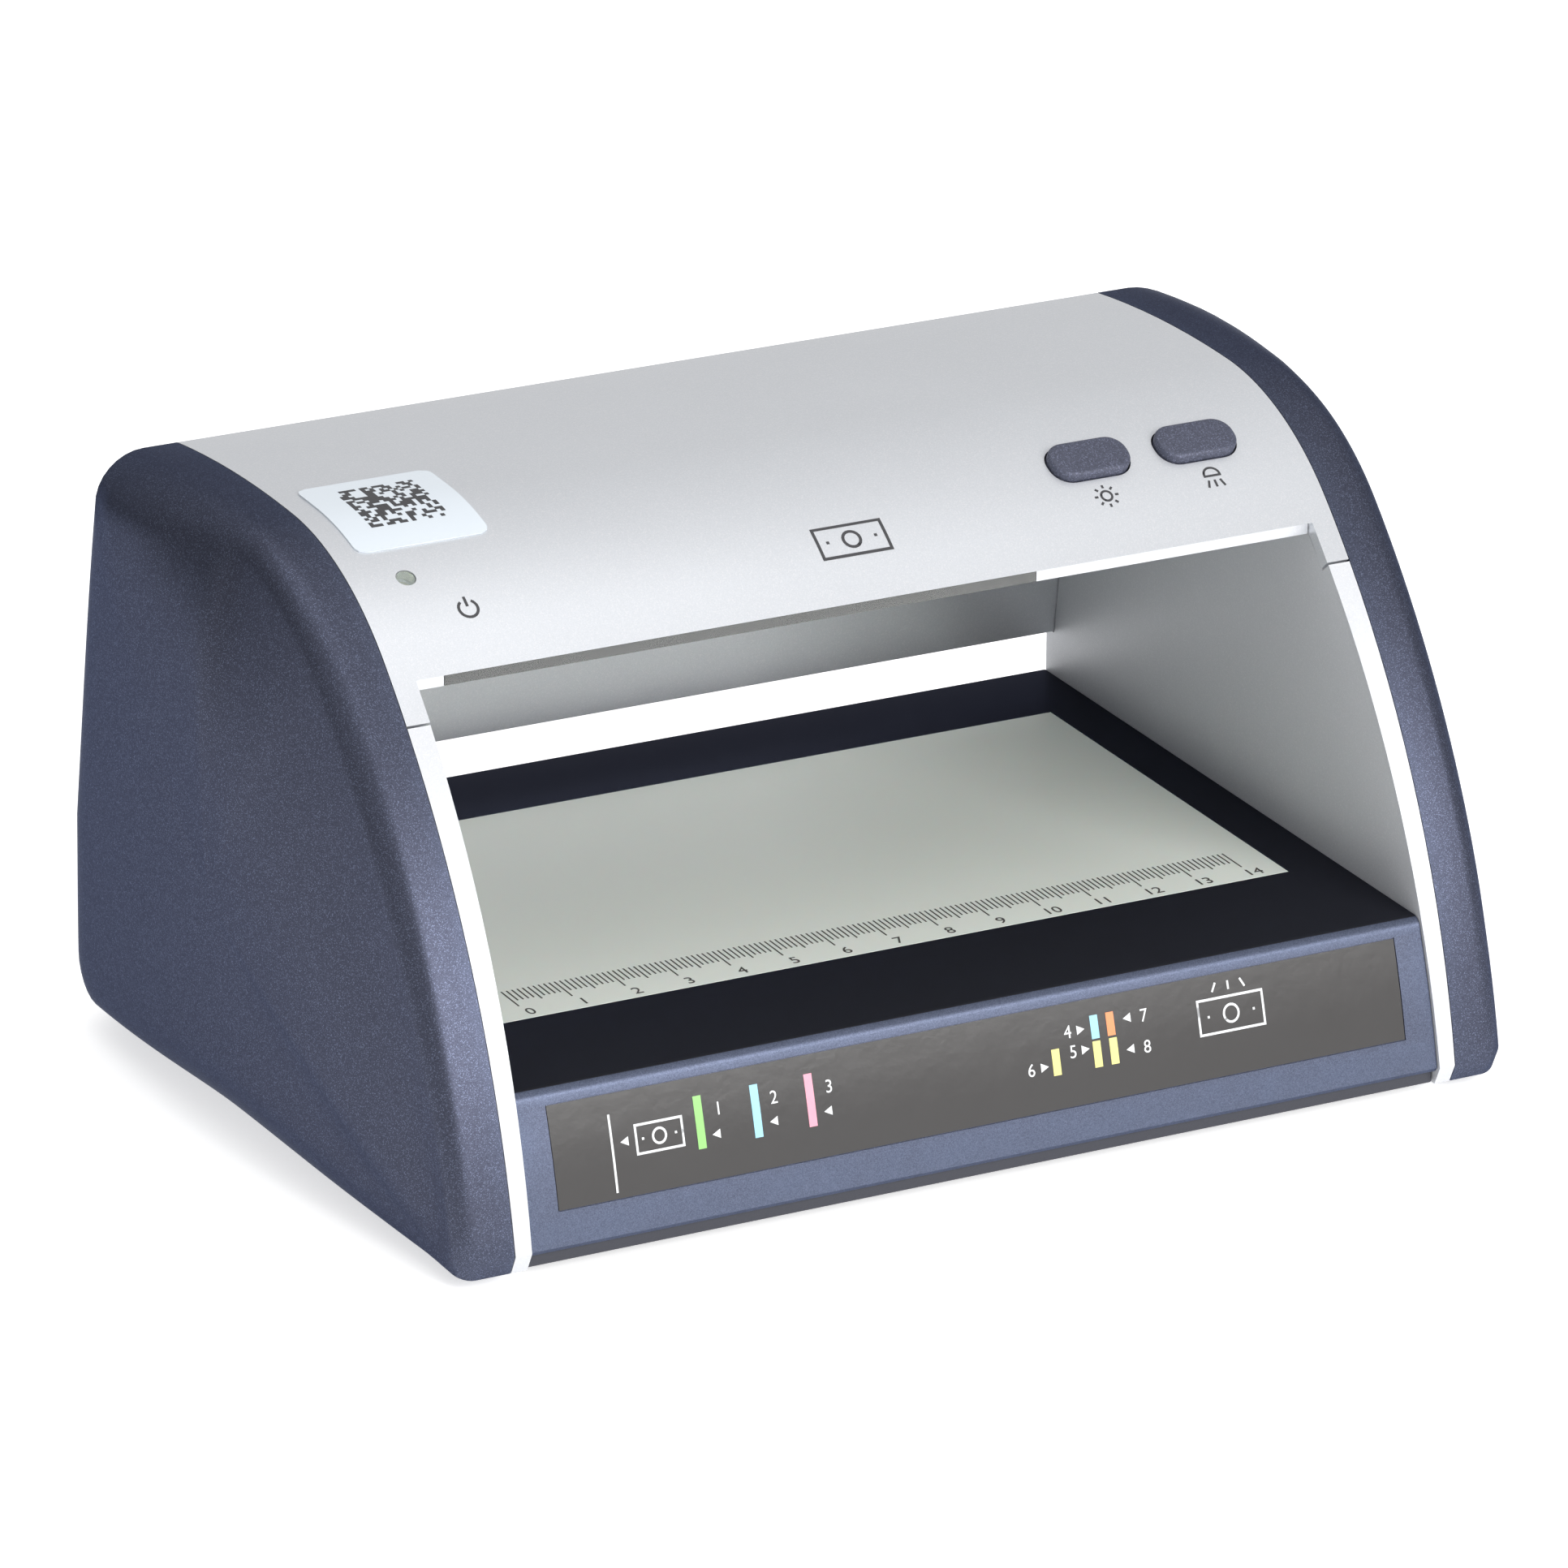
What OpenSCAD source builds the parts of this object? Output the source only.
// Counterfeit bill detector: a table-top casing with an open viewing bay.
// The row frame is +X along the ruler, +Y to the rear, +Z up, origin on the table under the middle.

/* [Overall size] */
// Width of the silver centre section between the two side caps
centre_w = 180.4; // [160:0.2:220]
// Depth of the casing from its front fold to its rear wall
body_d = 137; // [128:0.5:170]
// Height of the rear ridge above the table
ridge_z = 104.8; // [98:0.2:128]
// Distance from the rear wall forward to the ridge
ridge_in = 8.2; // [4:0.1:12]
// Greatest distance that a side cap stands out from the centre section
cap_out = 21.4; // [17:0.2:28]

/* [Cover curve] */
// Heading of the cover where it leaves the ridge, in degrees
crown_heading = 172.2; // [170:0.1:175]
// Radius of the shallow crown
crown_r = 256; // [230:1:280]
// Angle that the crown turns through
crown_sweep = 10.1; // [8:0.1:12]
// Radius of the tighter bend under the buttons
bend_r = 53; // [48:0.5:58]
// Angle that the bend turns through
bend_sweep = 40.8; // [38:0.1:43]
// Radius of the long front sweep
front_r = 168; // [150:1:185]
// Angle that the front sweep turns through
front_sweep = 34.7; // [32:0.1:37]

/* [Walls and clearances] */
// Thickness of the silver cover
cover_t = 2.4; // [1.8:0.1:3]
// Thickness of the rear cover
rear_t = 2.6; // [1.8:0.1:3.2]
// Thickness of the base tray's walls and deck
wall = 2.4; // [1.8:0.1:3]
// Thickness of the side caps
cap_wall = 2.2; // [1.6:0.1:2.8]
// Assembly gap between neighbouring mouldings
gap = 0.15; // [0.1:0.01:0.3]
// Running gap round a moving button
run_gap = 0.3; // [0.25:0.01:0.4]

/* [Base and viewing bay] */
// Height of the feet under the casing
foot_h = 2; // [1.5:0.1:4]
// Height of the deck that a bank note lies on
deck_z = 30.6; // [28:0.1:36]
// Radius of the deck's front edge
nose_r = 2.2; // [1:0.1:3]
// How far the base front lies behind the cover curve
base_recess = 0.7; // [0.4:0.1:1.5]
// Height of the front fold above the table
fold_z = 5.5; // [4.6:0.1:7]
// How far the casing steps back below the front fold
fold_in = 1.6; // [1:0.1:3]
// Top of the note slot in the rear wall
slot_top = 38.8; // [36:0.1:46]
// How far the header's front lip lies below the ridge
lip_drop = 15.1; // [14:0.1:18]
// How far the parting line between cover and side frames lies below the ridge
part_drop = 20.6; // [18:0.1:26]
// Width of the silver trim beside the header's lip
trim_top = 4.3; // [3:0.1:7]
// Width of the silver trim at the front fold
trim_low = 3; // [2:0.1:6]

/* [Light panel] */
// Distance from the side joint to the light panel
panel_in_side = 13; // [10:0.1:20]
// Distance from the front fold to the light panel
panel_in_front = 35.5; // [30:0.1:42]
// Distance from the rear wall to the light panel
panel_in_rear = 18.7; // [12:0.1:30]
// Thickness of the opal light panel
panel_t = 3; // [2:0.1:4]
// Depth of the white reflector box under the panel
light_box_h = 18; // [14:0.5:20]

/* [Buttons] */
// Length of a button along the casing
button_l = 15.2; // [12:0.1:16.5]
// Width of a button across its length
button_w = 7.8; // [6:0.1:9]
// Corner radius of a button
button_r = 3.5; // [2:0.1:3.8]
// Height of a button above the cover
button_rise = 1.6; // [1:0.1:2.2]
// Travel of a button
button_travel = 1; // [0.6:0.1:1.2]
// Distance from the right-hand joint to the middle of the white-light button
wm_button_in = 40.2; // [38:0.1:46]
// Distance from the right-hand joint to the middle of the ultraviolet button
uv_button_in = 19.1; // [18:0.1:20]
// Distance from the header's lip back to the middle of the buttons
button_back = 15.7; // [14:0.1:20]

/* [Indicator and labels] */
// Diameter of the indicator's hole
lens_hole_d = 3.5; // [3:0.1:5]
// Distance from the left-hand joint to the indicator
lens_in = 10.2; // [8:0.1:14]
// Distance from each joint to the end of the front label
label_in = 9; // [7:0.1:30]
// Height of the front label's lower edge
label_low = 11.4; // [10:0.1:16]
// Height of the front label's upper edge
label_high = 28.2; // [20:0.1:28.5]
// Thickness of the printed labels
label_t = 0.3; // [0.2:0.05:0.5]
// Width of the square info sticker
sticker_w = 24.7; // [15:0.1:26]
// Depth of the info sticker
sticker_d = 23.8; // [15:0.1:26]
// Distance from the left-hand joint to the info sticker
sticker_in = 4.5; // [2:0.1:10]
// Distance from the header's lip back to the info sticker
sticker_back = 22.3; // [20:0.1:30]

/* [Header] */
// Thickness of the header's floor
floor_t = 2.2; // [1.8:0.1:3]
// Distance from the left-hand joint to the ultraviolet lamp window
window_in_left = 10.2; // [8:0.1:20]
// Distance from the right-hand joint to the ultraviolet lamp window
window_in_right = 58.2; // [56:0.1:80]
// Distance from the rear wall to the ultraviolet lamp window
window_in_rear = 45.4; // [44:0.1:60]

/* [Side caps] */
// Flat rim of a cap before its edge rounds over
cap_flat = 6.4; // [4:0.1:8]
// Edge radius of a cap along the front
cap_r_front = 4; // [2.5:0.1:6]
// Edge radius of a cap along the rear
cap_r_rear = 9; // [5:0.1:10]
// How far the cap's side has fallen back at its front edge
cap_sag_front = 12.8; // [8:0.1:14]
// How far the cap's side has fallen back at its top edge
cap_sag_top = 2.4; // [1:0.1:4]
// Radius of a cap's lower rear corner
cap_corner_r = 8; // [4:0.5:10]

/* [Hidden] */

$fn = 48;
eps = 0.01;
over = 60;
navy = [0.16, 0.18, 0.30];
silver = [0.78, 0.80, 0.84];
joint_x = centre_w / 2;
rear_y = body_d / 2;
front_y = -body_d / 2;
ridge_y = rear_y - ridge_in;
curve_total = crown_sweep + bend_sweep + front_sweep;
curve_step = 2;

// A left-hand arc in the Y-Z plane: where it ends when it starts at p with a heading.
function arc_end(p, heading, r, sweep) =
    p + r * [sin(heading + sweep) - sin(heading), cos(heading) - cos(heading + sweep)];

crown_end = arc_end([0, 0], crown_heading, crown_r, crown_sweep);
bend_end = arc_end(crown_end, crown_heading + crown_sweep, bend_r, bend_sweep);
front_end = arc_end(bend_end, crown_heading + crown_sweep + bend_sweep, front_r, front_sweep);

// The three arcs, drawn from the ridge; s is the angle turned so far.
function raw_at(s) =
    s <= crown_sweep ? arc_end([0, 0], crown_heading, crown_r, s) :
    s <= crown_sweep + bend_sweep ?
        arc_end(crown_end, crown_heading + crown_sweep, bend_r, s - crown_sweep) :
        arc_end(bend_end, crown_heading + crown_sweep + bend_sweep, front_r,
                s - crown_sweep - bend_sweep);

// The arcs are stretched so that they run exactly from the ridge to the front fold.
stretch_y = (front_y - ridge_y) / front_end.x;
stretch_z = (fold_z - ridge_z) / front_end.y;

function unit(v) = v / norm(v);
function curve_dir(s) =
    unit([stretch_y * cos(crown_heading + s), stretch_z * sin(crown_heading + s)]);
function curve_at(s) = [ridge_y, ridge_z] + [stretch_y * raw_at(s).x, stretch_z * raw_at(s).y];
function inward(s) = [-curve_dir(s).y, curve_dir(s).x];
// A point of the cover curve, moved inwards by d.
function curve(s, d = 0) = curve_at(s) + d * inward(s);
// The curve's angle where it passes a given Y, or a given Z on its front side.
function s_at_y(y, lo = 0, hi = curve_total, n = 24) =
    n == 0 ? (lo + hi) / 2 :
    curve_at((lo + hi) / 2).x > y ? s_at_y(y, (lo + hi) / 2, hi, n - 1)
                                  : s_at_y(y, lo, (lo + hi) / 2, n - 1);
function s_at_z(z, lo = crown_sweep, hi = curve_total, n = 24) =
    n == 0 ? (lo + hi) / 2 :
    curve_at((lo + hi) / 2).y > z ? s_at_z(z, (lo + hi) / 2, hi, n - 1)
                                  : s_at_z(z, lo, (lo + hi) / 2, n - 1);
function curve_z(y) = curve_at(s_at_y(y)).y;

// Points of the curve between two angles, both ends included.
function run(a, b, d = 0) =
    let (n = max(1, ceil(abs(b - a) / curve_step)))
    [for (i = [0:n]) curve(a + (b - a) * i / n, d)];
function reversed(list) = [for (i = [len(list) - 1:-1:0]) list[i]];

lip_z = ridge_z - lip_drop;
lip_s = s_at_z(lip_z);
lip_y = curve_at(lip_s).x;
part_s = s_at_z(ridge_z - part_drop);
deck_s = s_at_z(deck_z);
wm_button_x = joint_x - wm_button_in;
uv_button_x = joint_x - uv_button_in;

// The rear wall stands upright to the slot and then leans forward to the ridge.
rear_lean = (rear_y - ridge_y) / (ridge_z - slot_top);
function rear_y_at(z) = rear_y - max(0, z - slot_top) * rear_lean;
rear_depth = rear_t * sqrt(1 + rear_lean * rear_lean);

// The bay's side walls lean outwards a little towards the bottom.
bay_half_top = joint_x - trim_top;
bay_half_low = joint_x - trim_low;
bay_slope = (bay_half_low - bay_half_top) / (lip_z - fold_z);
function bay_x(z) = bay_half_top + (lip_z - z) * bay_slope;

// Base levels
tray_bottom = foot_h + wall + gap;
panel_w = centre_w - 2 * panel_in_side;
panel_d = body_d - panel_in_front - panel_in_rear;
panel_front = front_y + panel_in_front;
deck_under = deck_z - wall;
panel_under = deck_z - panel_t;
ledge_t = 1.2;
ledge_w = 2;
box_top = panel_under - ledge_t - gap;
box_bottom = box_top - light_box_h;
panel_mid_y = panel_front + panel_d / 2;

// Header levels
floor_top = lip_z - gap;
floor_bottom = floor_top - floor_t;
floor_front_in = 1.2;
floor_front = lip_y + floor_front_in;
floor_rear = rear_y_at(floor_top) - rear_depth - gap;

// A piece drawn in the Y-Z plane and run along X.
module along_x(x0, x1) {
    translate([x0, 0, 0])
        rotate([90, 0, 90])
            linear_extrude(x1 - x0) children();
}

// The space between the two side frames, less a gap.
module bay_wedge(g) {
    low = -over;
    high = ridge_z + over;
    translate([0, over * 2, 0])
        rotate([90, 0, 0])
            linear_extrude(over * 4)
                polygon([[-bay_x(low) + g, low], [bay_x(low) - g, low],
                         [bay_x(high) - g, high], [-bay_x(high) + g, high]]);
}

// A child drawn with its own Z along the cover's outward normal.
module on_cover(x, y) {
    s = s_at_y(y);
    p = curve_at(s);
    translate([x, p.x, p.y])
        rotate([atan2(inward(s).x, -inward(s).y), 0, 0]) children();
}

module rounded_slab(l, w, r, z0, z1) {
    translate([0, 0, z0]) {
        for (x = [-l / 2 + r, l / 2 - r], y = [-w / 2 + r, w / 2 - r])
            translate([x, y, 0]) cylinder(h = z1 - z0, r = r);
        translate([-l / 2 + r, -w / 2, 0]) cube([l - 2 * r, w, z1 - z0]);
        translate([-l / 2, -w / 2 + r, 0]) cube([l, w - 2 * r, z1 - z0]);
    }
}

// ---- Screws: the origin is under the head, the shank runs down -Z ----
module screw(d, l, head_d, head_h) {
    slot_l = head_d * 0.6;
    slot_w = 0.7;
    translate([0, 0, -l]) cylinder(h = l, d = d);
    difference() {
        translate([0, 0, -eps]) cylinder(h = head_h + eps, d = head_d);
        for (a = [0, 90])
            rotate([0, 0, a])
                translate([-slot_l / 2, -slot_w / 2, head_h / 2]) cube([slot_l, slot_w, head_h]);
    }
}
screw_d = 2.6;
screw_head_d = 5;
screw_head_h = 1.6;
screw_bore = screw_d + 0.1;
screw_pass = screw_d + 0.6;
small_d = 1.8;
small_bore = small_d + 0.1;
small_pass = small_d + 0.4;
small_head_d = 3.4;
small_head_h = 1;
small_l = 4.5;
seat_gap = 0.04;

// ---- Silver mouldings ----

// Section of the header: the cover down to its lip, with the lip's return flange.
flange_reach = 4.6;
flange_h = 1.6;
function inner_s_at_z(z, lo = crown_sweep, hi = lip_s, n = 24) =
    n == 0 ? (lo + hi) / 2 :
    curve((lo + hi) / 2, cover_t).y > z ? inner_s_at_z(z, (lo + hi) / 2, hi, n - 1)
                                        : inner_s_at_z(z, lo, (lo + hi) / 2, n - 1);
rear_edge = [rear_y_at(ridge_z - cover_t), ridge_z - cover_t];
module header_section() {
    polygon(concat(run(0, lip_s),
                   [[lip_y + flange_reach, lip_z], [lip_y + flange_reach, lip_z + flange_h]],
                   reversed(run(0.4, inner_s_at_z(lip_z + flange_h), cover_t)), [rear_edge]));
}
// Section of the cover's two side legs, which run past the lip to the parting line.
module leg_section() {
    polygon(concat(run(0, part_s), reversed(run(0.4, part_s, cover_t)), [rear_edge]));
}

boss_d = 6;
boss_in = 19;
boss_rear = 24;
front_boss_in = 28;
front_boss_behind = 14.3;
boss_screw_depth = 9;

// The button stack, as depths below the cover: flange, stem, switch and board
flange_side = 2;
flange_front = 1.5;
flange_t = 1;
flange_top = cover_t + 0.6;
stem_l = 0.8;
stem_end = flange_top + flange_t + stem_l;
switch_clear = 0.2;
switch_top = stem_end + button_travel + switch_clear;
switch_h = 3;
switch_floor = 0.4;
board_t = 1.2;
board_top = switch_top + switch_h;
board_depth = 10.6;
board_clear = 0.3;

// How far a point of the stack stands above the header floor, with the button at y. The point is
// given as its depth below the cover and its reach down the slope.
function stack_room(y, depth, reach) =
    curve_z(y) + inward(s_at_y(y)).y * depth - inward(s_at_y(y)).x * reach - floor_top;
function stack_fits(y) =
    min(stack_room(y, board_top + board_t, board_depth / 2),
        stack_room(y, board_top + board_t + seat_gap + small_head_h, small_head_d / 2)) > board_clear;
// The buttons move up the slope until the board below them clears the floor.
function clear_y(y) = stack_fits(y) || y > lip_y + 2 * button_back ? y : clear_y(y + 0.25);
button_y = clear_y(lip_y + button_back);

floor_bosses = [[-joint_x + boss_in, rear_y - boss_rear], [0, rear_y - boss_rear],
                [joint_x - boss_in, rear_y - boss_rear],
                [joint_x - front_boss_in, button_y + front_boss_behind]];

post_d = 4;
post_screw_depth = 5;
post_gap = 0.4;
post_reach = button_l / 2 + flange_side + post_d / 2 + post_gap;
post_x = [wm_button_x - post_reach, uv_button_x + post_reach];

module top_cover() {
    color(silver)
    difference() {
        union() {
            along_x(-bay_half_top, bay_half_top) header_section();
            for (side = [-1, 1])
                along_x(side > 0 ? bay_half_top : -joint_x, side > 0 ? joint_x : -bay_half_top)
                    leg_section();
            for (p = floor_bosses)
                translate([p.x, p.y, floor_top + gap])
                    cylinder(h = curve_z(p.y) - cover_t / 2 - floor_top - gap, d = boss_d);
            for (x = post_x)
                on_cover(x, button_y)
                    translate([0, 0, -board_top]) cylinder(h = board_top - cover_t / 2, d = post_d);
        }
        for (x = [wm_button_x, uv_button_x])
            on_cover(x, button_y)
                rounded_slab(button_l + 2 * run_gap, button_w + 2 * run_gap, button_r + run_gap,
                             -2 * cover_t, cover_t);
        on_cover(lens_x, button_y)
            translate([0, 0, -cover_t * 2]) cylinder(h = cover_t * 3, d = lens_hole_d);
        for (p = floor_bosses)
            translate([p.x, p.y, floor_top - eps]) cylinder(h = boss_screw_depth, d = screw_bore);
        for (x = post_x)
            on_cover(x, button_y)
                translate([0, 0, -board_top - eps]) cylinder(h = post_screw_depth, d = small_bore);
    }
}

rear_screw_x = joint_x - 10.2;
rear_screw_z = ridge_z - 8.8;
rear_seat = 1.4;
rear_head_clear = 0.8;

module rear_cover() {
    top = ridge_z - cover_t - 3 * gap;
    color(silver)
    difference() {
        along_x(-joint_x, joint_x)
            polygon([[rear_y, slot_top], [rear_y_at(top), top],
                     [rear_y_at(top) - rear_depth, top], [rear_y - rear_depth, slot_top]]);
        for (x = [-rear_screw_x, rear_screw_x])
            translate([x, 0, rear_screw_z])
                rotate([-90, 0, 0]) {
                    translate([0, 0, ridge_y - over / 2]) cylinder(h = over, d = screw_pass);
                    translate([0, 0, rear_y_at(rear_screw_z) - rear_seat])
                        cylinder(h = over, d = screw_head_d + rear_head_clear);
                }
    }
}

// Places along the side frames where screws tie frame and base together.
tube_l = cap_flat + 1;
tube_end = 1;
cap_centre = [rear_y - 63.5, slot_top + 6.2];
function towards(b, e) = b + (cap_centre - b) * (e / norm(cap_centre - b));
tie_back = 20;
tie_crown = 40.5;
tie_in = 14;
ties = [towards([front_y + tie_back, foot_h], tie_in), towards([rear_y - tie_back, foot_h], tie_in),
        towards(curve_at(s_at_y(rear_y - tie_crown)), tie_in - 1)];
ribbon_w = 10;
ribbon_t = 0.6;
ribbon_clear = 1;
ribbon_y = lip_y + 34;
ribbon_z = [deck_under - 14, floor_top + 5];

// A slot along X that the ribbon passes through
module ribbon_cut(x, z, l) {
    translate([x, ribbon_y - ribbon_w / 2 - ribbon_clear, z - ribbon_t / 2 - ribbon_clear])
        cube([l, ribbon_w + 2 * ribbon_clear, ribbon_t + 2 * ribbon_clear]);
}

// Outline of a side frame: flush with the cover curve below the parting line, lapped under the
// cover above it.
module frame_outline() {
    lap = cover_t + gap;
    part_gap = 0.15;
    top = rear_y_at(ridge_z - lap) - rear_depth - 2 * gap;
    polygon(concat(
        [[rear_y, foot_h], [rear_y, slot_top - gap], [rear_y - rear_depth - gap, slot_top - gap]],
        [[top, ridge_z - lap - 2 * gap]],
        run(s_at_y(top - 3 * gap), part_s + part_gap, lap),
        run(part_s + part_gap, curve_total),
        [[front_y + fold_in, foot_h]]));
}

lug_w = 8;
lug_l = 12.4;
lug_in = 1;
lug_bore_l = 11;

module side_frame(side) {
    color(silver)
    difference() {
        union() {
            difference() {
                along_x(side > 0 ? 0 : -joint_x, side > 0 ? joint_x : 0) frame_outline();
                bay_wedge(0);
            }
            // Screw tubes that stand out into the hollow side cap
            for (p = ties)
                translate([side * (joint_x - eps), p.x, p.y])
                    rotate([0, side * 90, 0]) cylinder(h = tube_l, d = boss_d);
            // Lug for the rear cover's screw
            intersection() {
                translate([side > 0 ? rear_screw_x - lug_w / 2 : -joint_x + lug_in,
                           rear_y_at(rear_screw_z) - rear_depth - lug_l - lug_w / 10,
                           rear_screw_z - lug_w / 2])
                    cube([joint_x - rear_screw_x + lug_w / 2 - lug_in, lug_l, lug_w]);
                along_x(-joint_x, joint_x) frame_outline();
            }
        }
        for (p = ties)
            translate([side * (joint_x - over / 2), p.x, p.y])
                rotate([0, side * 90, 0]) cylinder(h = over / 2 + tube_l - tube_end, d = screw_bore);
        for (z = ribbon_z)
            ribbon_cut(side * joint_x - over / 2, z, over);
        translate([side * rear_screw_x, rear_y_at(rear_screw_z) - rear_depth - lug_bore_l, rear_screw_z])
            rotate([-90, 0, 0]) cylinder(h = over / 4, d = screw_bore);
    }
}
module left_side_frame() { side_frame(-1); }
module right_side_frame() { side_frame(1); }

// ---- Side caps: a rim that follows the casing's outline, rounded over into a bowed side ----
rim_x = joint_x + gap;
round_x = joint_x + cap_flat;
side_x = joint_x + cap_out;
dome_y = rear_y - 38.5;
dome_z = cap_centre.y - 1;
edge_grow = [cap_centre.x, rear_y - 10];

corner_step = 15;
cap_outline = concat(
    run(0, curve_total),
    [[front_y + fold_in, foot_h]],
    [for (i = [1:7]) [front_y + fold_in + (body_d - fold_in - cap_corner_r) * i / 8, foot_h]],
    [for (a = [-90:corner_step:0])
        [rear_y - cap_corner_r, foot_h + cap_corner_r] + cap_corner_r * [cos(a), sin(a)]],
    [for (i = [1:3]) [rear_y, foot_h + cap_corner_r + (slot_top - foot_h - cap_corner_r) * i / 3]],
    [for (i = [1:7]) let (z = slot_top + (ridge_z - slot_top) * i / 8) [rear_y_at(z), z]]);
cap_n = len(cap_outline);
curve_n = len(run(0, curve_total));

// Edge radius grows from the front to the rear.
function edge_r(b) =
    cap_r_front + (cap_r_rear - cap_r_front)
                  * min(1, max(0, (b.x - edge_grow[0]) / (edge_grow[1] - edge_grow[0])));
function dome(p) =
    side_x - cap_sag_front * pow((p.x - dome_y) / (front_y - dome_y), 2)
           - cap_sag_top * pow((p.y - dome_z) / (ridge_z - dome_z), 2);
// The side rises slowly behind the curved front and quickly behind the straight edges.
rise_curved = 45;
rise_straight = 14;
function rise_length(i) = i < curve_n ? rise_curved : rise_straight;
function ease(t) = t >= 1 ? 1 : t * (2 - t);
function cap_x(i, e) =
    let (b = cap_outline[i], r = edge_r(b), p = towards(b, e))
    round_x + (e >= r ? r : sqrt(r * r - (r - e) * (r - e)))
            + max(0, dome(p) - round_x - r) * ease(e / rise_length(i));
function reach(i) = norm(cap_centre - cap_outline[i]);

// Insets of the rings, from the rim to the middle
round_steps = 5;
dome_steps = 6;
function outer_inset(i, k) =
    let (r = edge_r(cap_outline[i]))
    k <= round_steps ? r * (1 - cos(90 * k / round_steps))
                     : r + (reach(i) - r) * pow((k - round_steps) / (dome_steps + 1), 1.3);
inner_insets = [cap_wall, 5, 10, 22, 38];

function ring_point(i, x, e) = [x, towards(cap_outline[i], e).x, towards(cap_outline[i], e).y];
outer_rings = concat(
    [[for (i = [0:cap_n - 1]) ring_point(i, rim_x, 0)]],
    [for (k = [0:round_steps + dome_steps])
        [for (i = [0:cap_n - 1]) ring_point(i, cap_x(i, outer_inset(i, k)), outer_inset(i, k))]]);
inner_rings = concat(
    [[for (i = [0:cap_n - 1]) ring_point(i, rim_x, cap_wall)]],
    [for (e = inner_insets) [for (i = [0:cap_n - 1]) ring_point(i, cap_x(i, e) - cap_wall, e)]]);

function flat(lists) = [for (list = lists) for (item = list) item];
function band(a, b) = flat([for (i = [0:cap_n - 1])
    let (j = (i + 1) % cap_n)
    [[a * cap_n + i, a * cap_n + j, b * cap_n + j], [a * cap_n + i, b * cap_n + j, b * cap_n + i]]]);

module cap_shell() {
    outer_n = len(outer_rings);
    inner_n = len(inner_rings);
    rings = concat(outer_rings, inner_rings);
    count = len(rings) * cap_n;
    hub_x = dome(cap_centre);
    last = outer_n + inner_n - 1;
    polyhedron(
        points = concat(flat(rings), [[hub_x, cap_centre.x, cap_centre.y],
                                      [hub_x - cap_wall, cap_centre.x, cap_centre.y]]),
        faces = concat(
            flat([for (k = [0:outer_n - 2]) band(k, k + 1)]),
            [for (i = [0:cap_n - 1])
                [(outer_n - 1) * cap_n + i, (outer_n - 1) * cap_n + (i + 1) % cap_n, count]],
            flat([for (k = [outer_n:last - 1]) band(k + 1, k)]),
            [for (i = [0:cap_n - 1]) [last * cap_n + (i + 1) % cap_n, last * cap_n + i, count + 1]],
            band(outer_n, 0)));
}

module right_cap() { color(navy) cap_shell(); }
module left_cap() { color(navy) mirror([1, 0, 0]) cap_shell(); }

// ---- Base ----
nose_turn = crown_heading + deck_s - 180;
nose_len = nose_r * tan(nose_turn / 2);
corner = curve(deck_s, base_recess);

module base_outline() {
    nose_c = [corner.x + nose_len, deck_z - nose_r];
    polygon(concat(
        [[rear_y, tray_bottom], [rear_y, deck_z]],
        [for (i = [0:6]) nose_c + nose_r * [cos(90 + nose_turn * i / 6), sin(90 + nose_turn * i / 6)]],
        run(s_at_z(deck_z - nose_r), curve_total, base_recess),
        [[front_y + base_recess + 4 * gap, tray_bottom]]));
}
module base_cavity() {
    polygon(concat(
        [[rear_y - wall, tray_bottom - 1], [rear_y - wall, deck_under]],
        run(s_at_z(deck_under), curve_total, base_recess + wall),
        [[front_y + base_recess + wall + 2 * gap, tray_bottom - 1]]));
}
// A thin layer on the front face between two depths below the cover curve
module front_layer(z0, z1, d0, d1) {
    polygon(concat(run(s_at_z(z1), s_at_z(z0), d0), reversed(run(s_at_z(z1), s_at_z(z0), d1))));
}

base_post_x = joint_x - 11;
base_post_y = [front_y + 22, rear_y - 8];
base_screw_depth = 12;
label_half = joint_x - label_in;
jack_x = joint_x - 35.2;
jack_z = foot_h + 13;
jack_w = 9;
jack_h = 11;
jack_d = 13;
jack_back = 3;
jack_bore = 5.7;
jack_pin = 2;

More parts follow.
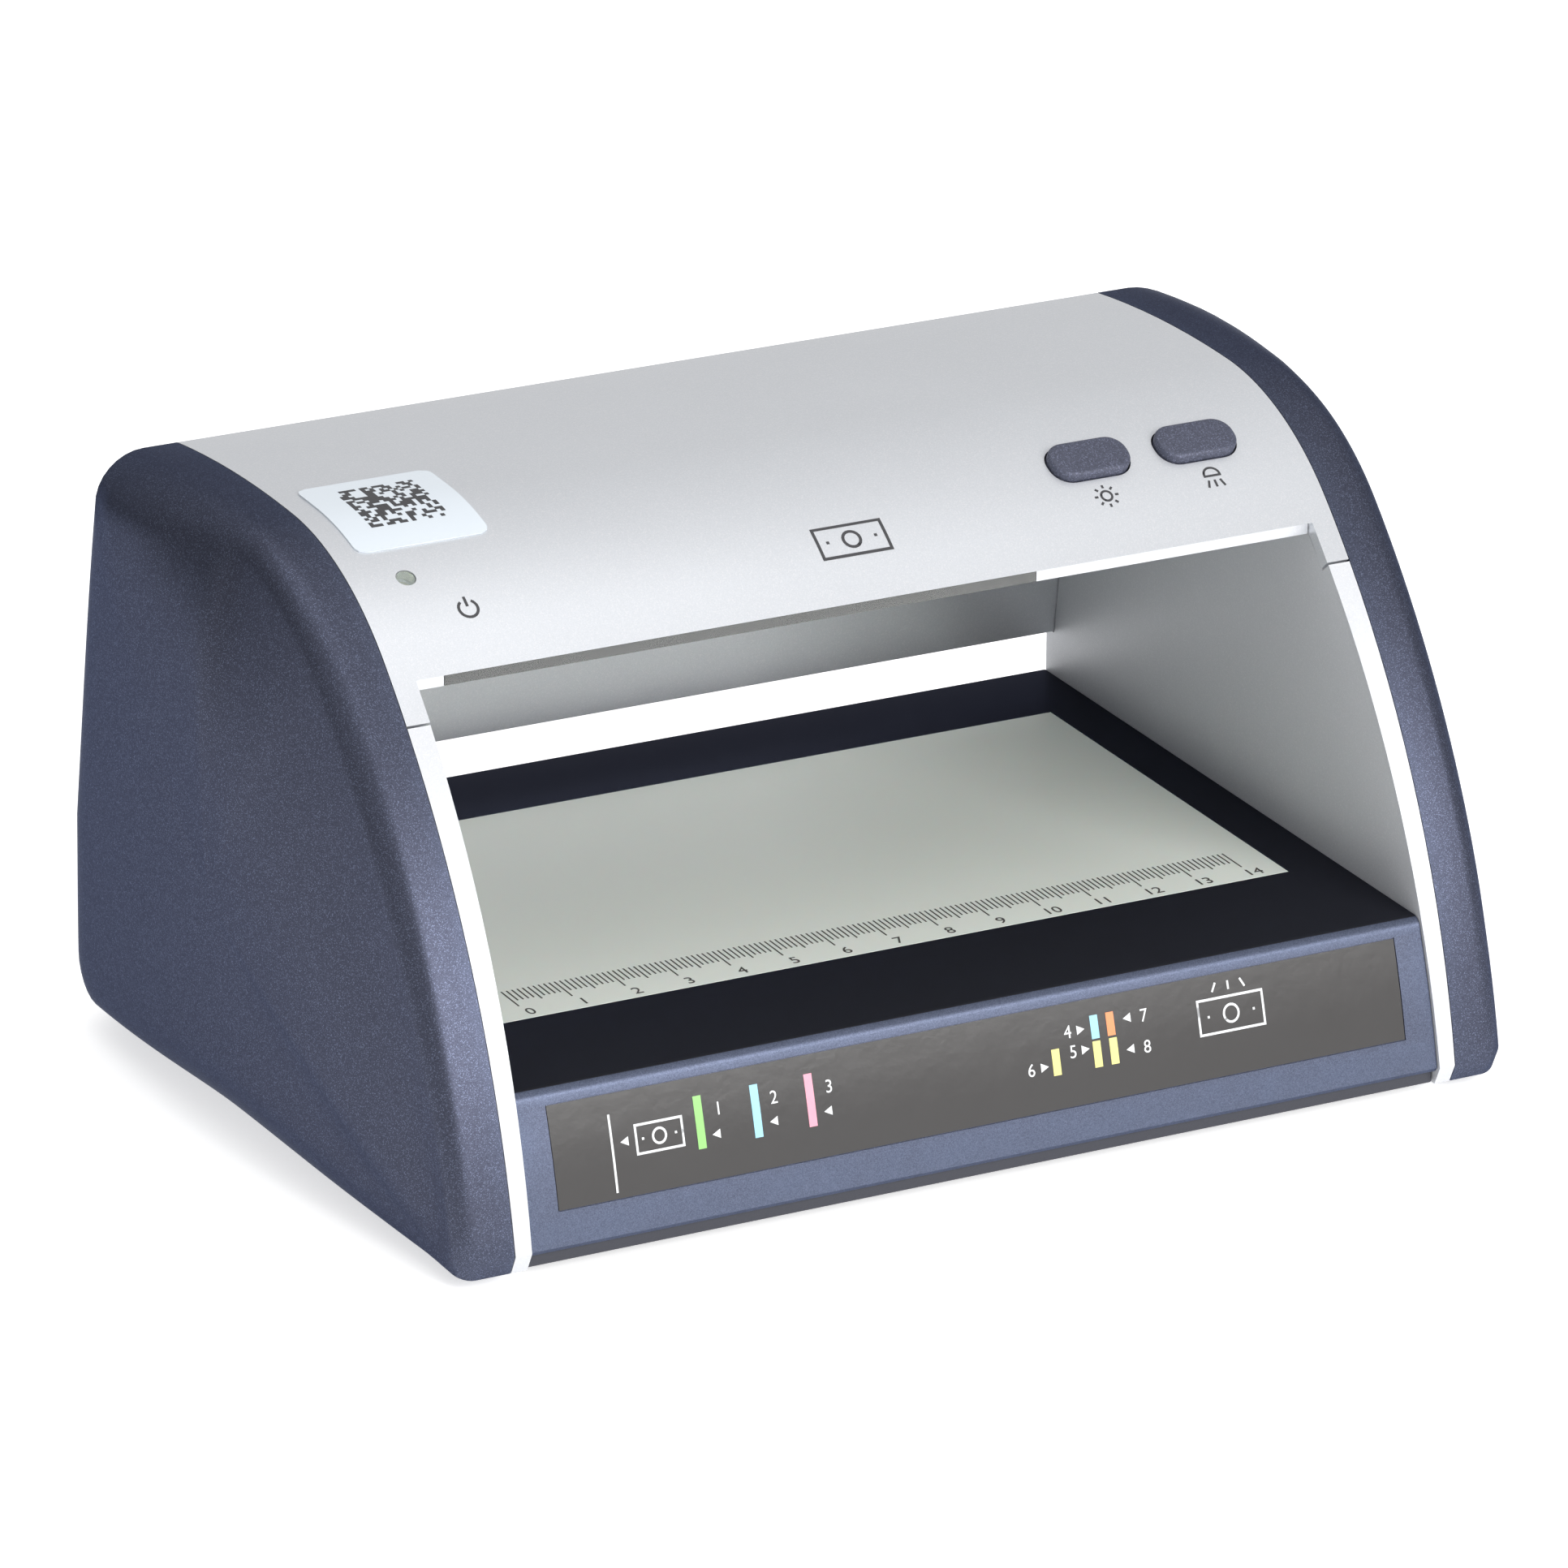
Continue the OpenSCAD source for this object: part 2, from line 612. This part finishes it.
module base_tray() {
    color(navy)
    difference() {
        union() {
            intersection() {
                difference() {
                    along_x(-joint_x, joint_x) base_outline();
                    intersection() {
                        along_x(-joint_x, joint_x) base_cavity();
                        bay_wedge(wall);
                    }
                }
                bay_wedge(gap);
            }
            translate([-panel_w / 2 - ledge_w - gap, panel_front - ledge_w - gap, panel_under - ledge_t])
                cube([panel_w + 2 * (ledge_w + gap), panel_d + 2 * (ledge_w + gap),
                      deck_under - panel_under + ledge_t + eps]);
            for (x = [-base_post_x, base_post_x], y = base_post_y)
                translate([x, y, tray_bottom]) cylinder(h = deck_under - tray_bottom + eps, d = boss_d + 1);
        }
        translate([-panel_w / 2 - gap, panel_front - gap, panel_under])
            cube([panel_w + 2 * gap, panel_d + 2 * gap, over]);
        translate([-panel_w / 2 + ledge_w, panel_front + ledge_w, panel_under - over / 4])
            cube([panel_w - 2 * ledge_w, panel_d - 2 * ledge_w, over]);
        along_x(-label_half - gap, label_half + gap)
            front_layer(label_low - gap, label_high + gap, -1, base_recess + label_t);
        for (x = [-base_post_x, base_post_x], y = base_post_y)
            translate([x, y, tray_bottom - eps]) cylinder(h = base_screw_depth, d = screw_bore);
        for (side = [-1, 1], i = [0, 1])
            translate([side * (joint_x + over / 4), ties[i].x, ties[i].y])
                rotate([0, -side * 90, 0]) cylinder(h = over / 2, d = screw_pass);
        ribbon_cut(joint_x - over / 2, ribbon_z[0], over);
        translate([jack_x - jack_w / 2 - gap, rear_y - over / 4, jack_z - jack_h / 2 - gap])
            cube([jack_w + 2 * gap, over / 2, jack_h + 2 * gap]);
    }
}

foot_d = 12;
foot_x = joint_x - 20;
foot_y = [front_y + 18, rear_y - 16];
foot_sink = 0.8;
foot_chamfer = 0.5;
base_head_depth = 1.4;

module bottom_cover() {
    color([0.12, 0.13, 0.17])
    difference() {
        intersection() {
            translate([-joint_x, front_y + fold_in + 4 * gap, foot_h])
                cube([centre_w, body_d - fold_in - 4 * gap, wall]);
            bay_wedge(gap);
        }
        for (x = [-base_post_x, base_post_x], y = base_post_y)
            translate([x, y, foot_h - eps]) {
                cylinder(h = over, d = screw_pass);
                cylinder(h = base_head_depth, d = screw_head_d + 0.6);
            }
        for (x = [-foot_x, foot_x], y = foot_y)
            translate([x, y, foot_h - eps]) cylinder(h = foot_sink, d = foot_d + 2 * gap);
    }
}

module rubber_feet() {
    color([0.1, 0.1, 0.1])
    for (x = [-foot_x, foot_x], y = foot_y)
        translate([x, y, 0])
            rotate_extrude()
                polygon([[0, 0], [foot_d / 2 - foot_chamfer, 0], [foot_d / 2, foot_chamfer],
                         [foot_d / 2, foot_h + foot_sink - 2 * eps], [0, foot_h + foot_sink - 2 * eps]]);
}

// ---- Light panel and its white light ----
module light_panel() {
    color([0.88, 0.90, 0.84])
        translate([-panel_w / 2, panel_front, panel_under + eps]) cube([panel_w, panel_d, panel_t - eps]);
}

box_wall = 1.5;
module light_box() {
    color([0.95, 0.95, 0.95])
    difference() {
        translate([-panel_w / 2, panel_front, box_bottom]) cube([panel_w, panel_d, light_box_h]);
        translate([-panel_w / 2 + box_wall, panel_front + box_wall, box_bottom + box_wall])
            cube([panel_w - 2 * box_wall, panel_d - 2 * box_wall, light_box_h]);
        translate([panel_w / 2 - box_wall * 2, panel_mid_y - ribbon_w / 2, box_bottom + box_wall])
            cube([box_wall * 3, ribbon_w, 4]);
    }
}

wm_board_in = 7;
wm_board_w = panel_w - 2 * wm_board_in;
wm_board_d = panel_d - 2 * wm_board_in;
wm_board_z = box_bottom + box_wall + gap;
module wm_led_board() {
    color([0.9, 0.9, 0.88])
        translate([-wm_board_w / 2, panel_mid_y - wm_board_d / 2, wm_board_z])
            cube([wm_board_w, wm_board_d, board_t]);
}
wm_led_cols = 7;
wm_led_rows = 4;
wm_led = [3.5, 2.8, 1.2];
module wm_leds() {
    color([0.98, 0.93, 0.6])
    for (i = [0:wm_led_cols - 1], j = [0:wm_led_rows - 1])
        translate([(i - (wm_led_cols - 1) / 2) * wm_board_w / wm_led_cols,
                   panel_mid_y + (j - (wm_led_rows - 1) / 2) * wm_board_d / wm_led_rows,
                   wm_board_z + board_t + wm_led.z / 2])
            cube(wm_led, center = true);
}

// ---- Header floor, lamp window and ultraviolet lamps ----
window_step = 2;
window_rear = rear_y - window_in_rear;
uv_window_left = -joint_x + window_in_left;
uv_window_w = centre_w - window_in_left - window_in_right;
uv_window_d = window_rear - floor_front;
uv_window_mid = uv_window_left + uv_window_w / 2;
lamp_post_d = 5;
lamp_post_y = window_rear + window_step + lamp_post_d / 2 + 1;
lamp_post_in = 11;
lamp_post_x = [uv_window_left + lamp_post_in, uv_window_mid, uv_window_left + uv_window_w - lamp_post_in];
led_d = 5;
led_h = 5.2;
led_rim = 0.4;
led_clear = 0.8;
lamp_board_z = floor_top + led_h + led_clear;
lamp_board_front = floor_front + 15;
lamp_board_rear = lamp_post_y + lamp_post_d / 2 + 0.5;
lamp_board_w = uv_window_w - 8;

module header_floor() {
    color(silver)
    difference() {
        union() {
            intersection() {
                translate([-joint_x, floor_front, floor_bottom])
                    cube([centre_w, floor_rear - floor_front, floor_t]);
                bay_wedge(gap);
            }
            for (x = lamp_post_x)
                translate([x, lamp_post_y, floor_top - eps])
                    cylinder(h = lamp_board_z - floor_top, d = lamp_post_d);
        }
        translate([uv_window_left - gap, floor_front - over, floor_bottom - eps])
            cube([uv_window_w + 2 * gap, over + uv_window_d + gap, over]);
        translate([uv_window_left - window_step - gap, floor_front + window_step,
                   floor_top - floor_t / 2 - gap])
            cube([uv_window_w + 2 * (window_step + gap), uv_window_d + gap, over]);
        for (p = floor_bosses)
            translate([p.x, p.y, floor_bottom - eps]) cylinder(h = floor_t + 1, d = screw_pass);
        for (x = lamp_post_x)
            translate([x, lamp_post_y, floor_top + switch_floor]) cylinder(h = over, d = small_bore);
    }
}

module uv_window() {
    color([0.85, 0.88, 0.9, 0.5])
    union() {
        translate([uv_window_left, floor_front, floor_bottom])
            cube([uv_window_w, uv_window_d, floor_t - eps]);
        translate([uv_window_left - window_step, floor_front + window_step + gap, floor_top - floor_t / 2])
            cube([uv_window_w + 2 * window_step, uv_window_d - gap, floor_t / 2 - eps]);
    }
}

module uv_led_board() {
    color([0.12, 0.35, 0.2])
    difference() {
        translate([uv_window_mid - lamp_board_w / 2, lamp_board_front, lamp_board_z + eps])
            cube([lamp_board_w, lamp_board_rear - lamp_board_front, board_t]);
        for (x = lamp_post_x)
            translate([x, lamp_post_y, lamp_board_z - 1]) cylinder(h = board_t + 2, d = small_pass);
    }
}

uv_led_cols = 8;
uv_led_pitch = 12;
uv_led_room = lamp_post_y - lamp_post_d / 2 - lamp_board_front;
uv_led_rows = max(1, floor(uv_led_room / uv_led_pitch));
module uv_led() {
    translate([0, 0, led_d / 2]) cylinder(h = led_h - led_d / 2, d = led_d);
    translate([0, 0, led_h - 1]) cylinder(h = 1, d = led_d + 2 * led_rim);
    translate([0, 0, led_d / 2]) sphere(d = led_d);
}
module uv_leds() {
    color([0.55, 0.5, 0.8])
    for (i = [0:uv_led_cols - 1], j = [0:uv_led_rows - 1])
        translate([uv_window_mid + (i - (uv_led_cols - 1) / 2) * lamp_board_w / uv_led_cols,
                   lamp_board_front + (j + 0.5) * uv_led_room / uv_led_rows, lamp_board_z - led_h])
            uv_led();
}

// ---- Control board, switches and buttons ----
board_w = post_x[1] - post_x[0] + post_d;
board_mid_x = (post_x[0] + post_x[1]) / 2;
switch_l = 6;
stem_d = 4.6;
plunger_d = 3.2;
plunger_l = board_top - switch_floor - stem_end - button_travel - switch_clear;

module control_board() {
    color([0.12, 0.35, 0.2])
    on_cover(0, button_y)
    difference() {
        translate([board_mid_x - board_w / 2, -board_depth / 2, -board_top - board_t])
            cube([board_w, board_depth, board_t - eps]);
        for (x = post_x)
            translate([x, 0, -board_top - board_t - 1]) cylinder(h = board_t + 2, d = small_pass);
    }
}

module tact_switches() {
    color([0.2, 0.2, 0.22])
    for (x = [wm_button_x, uv_button_x])
        on_cover(x, button_y)
        difference() {
            translate([-switch_l / 2, -switch_l / 2, -board_top + eps])
                cube([switch_l, switch_l, board_top - switch_top]);
            translate([0, 0, -board_top + switch_floor]) cylinder(h = over, d = plunger_d + 2 * run_gap);
        }
}

module button(x) {
    edge = 0.4;
    shoulder = button_rise - 0.5;
    color(navy)
    on_cover(x, button_y)
    union() {
        rounded_slab(button_l, button_w, button_r, -flange_top - eps, shoulder);
        rounded_slab(button_l - 2 * edge, button_w - 2 * edge, button_r - edge, shoulder - eps,
                     button_rise);
        rounded_slab(button_l + 2 * flange_side, button_w + 2 * flange_front, button_r,
                     -flange_top - flange_t, -flange_top);
        translate([0, 0, -stem_end]) cylinder(h = stem_end - flange_top, d = stem_d);
    }
}
module uv_button() { button(uv_button_x); }
module wm_button() { button(wm_button_x); }

module plunger(x) {
    color([0.75, 0.75, 0.72])
    on_cover(x, button_y)
        translate([0, 0, -stem_end - plunger_l]) cylinder(h = plunger_l - eps, d = plunger_d);
}
module uv_plunger() { plunger(uv_button_x); }
module wm_plunger() { plunger(wm_button_x); }

// ---- Indicator ----
lens_x = -joint_x + lens_in;
lens_d = lens_hole_d - 0.2;
lens_l = cover_t + 1.2;
lens_sink = 0.2;
lens_rim = 0.8;
led_gap = 0.9;
indicator_led_d = 3;
indicator_led_l = 3.9;
lead_d = 0.6;
lead_l = 3.3;
module indicator_lens() {
    color([0.8, 0.88, 0.84, 0.7])
    on_cover(lens_x, button_y)
    union() {
        translate([0, 0, -lens_l]) cylinder(h = lens_l - lens_sink, d = lens_d);
        translate([0, 0, -lens_l - lens_rim]) cylinder(h = lens_rim + eps, d = lens_d + 2 * lens_rim);
    }
}
module indicator_led() {
    color([0.9, 0.93, 0.9])
    on_cover(lens_x, button_y)
    union() {
        translate([0, 0, -lens_l - led_gap - indicator_led_l])
            cylinder(h = indicator_led_l, d = indicator_led_d);
        for (side = [-1, 1])
            translate([side * lens_rim, 0, -lens_l - led_gap - indicator_led_l - lead_l + eps])
                cylinder(h = lead_l, d = lead_d);
    }
}

// ---- Power inlet and ribbon cable ----
module dc_jack() {
    color([0.08, 0.08, 0.09])
    difference() {
        translate([jack_x - jack_w / 2, rear_y - jack_d, jack_z - jack_h / 2])
            cube([jack_w, jack_d, jack_h]);
        translate([jack_x, rear_y - jack_d + jack_back, jack_z])
            rotate([-90, 0, 0]) cylinder(h = over, d = jack_bore);
    }
}
module dc_pin() {
    color([0.8, 0.8, 0.82])
        translate([jack_x, rear_y - jack_d + jack_back + eps, jack_z])
            rotate([-90, 0, 0]) cylinder(h = jack_d - jack_back - 1, d = jack_pin);
}

ribbon_out = joint_x + 4;
module lamp_ribbon() {
    low_start = panel_w / 2 + ribbon_clear;
    high_start = bay_half_top - 6;
    color([0.75, 0.75, 0.78])
    union() {
        translate([low_start, ribbon_y - ribbon_w / 2, ribbon_z[0] - ribbon_t / 2])
            cube([ribbon_out - low_start, ribbon_w, ribbon_t]);
        translate([ribbon_out - ribbon_t, ribbon_y - ribbon_w / 2, ribbon_z[0] - ribbon_t / 2])
            cube([ribbon_t, ribbon_w, ribbon_z[1] - ribbon_z[0] + ribbon_t]);
        translate([high_start, ribbon_y - ribbon_w / 2, ribbon_z[1] - ribbon_t / 2])
            cube([ribbon_out - high_start, ribbon_w, ribbon_t]);
    }
}

// ---- Labels ----
module front_label() {
    color([0.36, 0.35, 0.34])
        along_x(-label_half, label_half)
            front_layer(label_low, label_high, base_recess + eps * 5, base_recess + label_t - eps);
}
module info_sticker() {
    left = -joint_x + sticker_in;
    near = s_at_y(lip_y + sticker_back);
    far = s_at_y(lip_y + sticker_back + sticker_d);
    color([0.95, 0.95, 0.97])
        along_x(left, left + sticker_w)
            polygon(concat(run(far, near, -label_t), reversed(run(far, near, -eps))));
}

// ---- Screws ----
steel = [0.6, 0.6, 0.62];
base_screw_l = 11;
floor_screw_l = 9;
rear_screw_l = 10;

module base_screws() {
    color(steel)
    for (x = [-base_post_x, base_post_x], y = base_post_y)
        translate([x, y, foot_h + base_head_depth - seat_gap])
            rotate([180, 0, 0]) screw(screw_d, base_screw_l, screw_head_d, base_head_depth - 0.2);
}
module frame_screws() {
    color(steel)
    for (side = [-1, 1], i = [0:2]) {
        p = ties[i];
        seat = bay_x(p.y) - seat_gap - (i < 2 ? gap + wall : 0);
        translate([side * seat, p.x, p.y])
            rotate([0, -side * 90, 0])
                screw(screw_d, joint_x + tube_l - tube_end - gap - seat, screw_head_d, screw_head_h);
    }
}
module floor_screws() {
    color(steel)
    for (p = floor_bosses)
        translate([p.x, p.y, floor_bottom - eps])
            rotate([180, 0, 0]) screw(screw_d, floor_screw_l, screw_head_d, screw_head_h);
}
module rear_screws() {
    color(steel)
    for (x = [-rear_screw_x, rear_screw_x])
        translate([x, rear_y_at(rear_screw_z) - rear_seat + seat_gap, rear_screw_z])
            rotate([-90, 0, 0]) screw(screw_d, rear_screw_l, screw_head_d, screw_head_h * 0.7);
}
module board_screws() {
    color(steel)
    for (x = post_x)
        on_cover(x, button_y)
            translate([0, 0, -board_top - board_t - seat_gap])
                rotate([180, 0, 0]) screw(small_d, small_l, small_head_d, small_head_h);
}
module lamp_screws() {
    color(steel)
    for (x = lamp_post_x)
        translate([x, lamp_post_y, lamp_board_z + board_t + seat_gap])
            screw(small_d, small_l, small_head_d, small_head_h);
}

top_cover();
rear_cover();
left_side_frame();
right_side_frame();
left_cap();
right_cap();
base_tray();
bottom_cover();
light_panel();
light_box();
wm_led_board();
wm_leds();
header_floor();
uv_window();
uv_led_board();
uv_leds();
control_board();
tact_switches();
uv_button();
wm_button();
uv_plunger();
wm_plunger();
indicator_lens();
indicator_led();
dc_jack();
dc_pin();
lamp_ribbon();
front_label();
info_sticker();
rubber_feet();
base_screws();
frame_screws();
floor_screws();
rear_screws();
board_screws();
lamp_screws();
